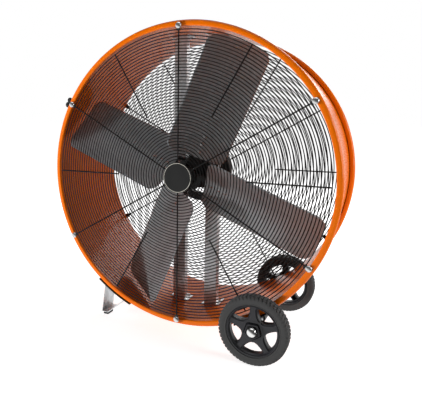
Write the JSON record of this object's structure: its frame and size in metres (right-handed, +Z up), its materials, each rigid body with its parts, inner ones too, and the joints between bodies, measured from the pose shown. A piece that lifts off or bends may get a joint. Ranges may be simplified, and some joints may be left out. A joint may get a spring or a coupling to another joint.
{
  "type": "wheeled drum fan",
  "caption": "Belt-driven drum fan in a round steel drum with wire grilles, tilting on wheels and a folded leg, with a carry handle and speed switch.",
  "frame": {"origin": "floor level, below the middle of the drum", "axes": "+Y along the fan axis from the outlet grille to the inlet grille, +X towards the wheels, +Z up"},
  "size_m": [0.97, 0.5128, 1.0189],
  "materials": {
    "orange_paint": "gloss",
    "black_wire": "satin",
    "black_paint": "satin",
    "black_plastic": "matte",
    "galvanised": "satin",
    "cast_iron": "matte",
    "motor_paint": "satin",
    "belt_rubber": "matte",
    "foot_rubber": "matte",
    "bright_steel": "satin",
    "cap_steel": "gloss",
    "blade_metal": "satin",
    "wheel_plastic": "satin",
    "tyre_rubber": "matte"
  },
  "bodies": {
    "frame": {"axle": "bright_steel", "axle_saddle": "black_paint", "cable_gland": "black_plastic", "drum_shell": "orange_paint", "front_axle_bracket": "black_paint", "front_bearing": "cast_iron", "front_bearing_plate": "black_paint", "front_grille_disc": "black_paint", "front_grille_rings": "black_wire", "front_grille_spokes": "black_wire", "front_leg": "galvanised", "grille_clips": "black_plastic", "handle_brackets": "black_plastic", "handle_grip": "black_plastic", "hub_caps": "cap_steel", "left_strut": "galvanised", "leg_feet": "foot_rubber", "leg_saddle": "black_paint", "motor_base": "black_paint", "motor_front_bell": "motor_paint", "motor_rear_bell": "motor_paint", "motor_shelf": "galvanised", "motor_shell": "motor_paint", "rear_axle_bracket": "black_paint", "rear_bearing": "cast_iron", "rear_bearing_plate": "black_paint", "rear_grille_disc": "black_paint", "rear_grille_rings": "black_wire", "rear_grille_spokes": "black_wire", "rear_leg": "galvanised", "right_strut": "galvanised", "switch_box": "black_plastic", "switch_cover": "black_plastic", "v_belt": "belt_rubber"},
    "rotor": {"fan_shaft": "bright_steel", "blade_hub": "black_paint", "blade_1": "blade_metal", "blade_2": "blade_metal", "blade_3": "blade_metal", "blade_4": "blade_metal", "fan_pulley": "cast_iron"},
    "motor_rotor": {"motor_shaft": "bright_steel", "motor_pulley": "cast_iron"},
    "knob": {"speed_knob": "black_plastic"},
    "front_wheel_turning": {"front_wheel": "wheel_plastic", "front_tyre": "tyre_rubber"},
    "rear_wheel_turning": {"rear_wheel": "wheel_plastic", "rear_tyre": "tyre_rubber"}
  },
  "joints": [
    {"name": "fan_spin", "type": "hinge", "parent": "frame", "child": "rotor", "pos_m": [0, 0, 0.534], "axis": [0, 1, 0], "continuous": true},
    {"name": "motor_spin", "type": "hinge", "parent": "frame", "child": "motor_rotor", "pos_m": [0, 0, 0.769], "axis": [0, 1, 0], "continuous": true},
    {"name": "front_wheel_spin", "type": "hinge", "parent": "frame", "child": "front_wheel_turning", "pos_m": [0.263, -0.2225, 0.104], "axis": [0, 1, 0], "continuous": true},
    {"name": "rear_wheel_spin", "type": "hinge", "parent": "frame", "child": "rear_wheel_turning", "pos_m": [0.263, 0.2225, 0.104], "axis": [0, 1, 0], "continuous": true},
    {"name": "knob_turn", "type": "hinge", "parent": "frame", "child": "knob", "pos_m": [-0.31091, 0.03, 0.93194], "axis": [-0.6157, 0, 0.788], "range_deg": [0, 120]}
  ],
  "couplings": [
    {"joint": "motor_spin", "follows": "fan_spin", "ratio": 2.8571}
  ]
}
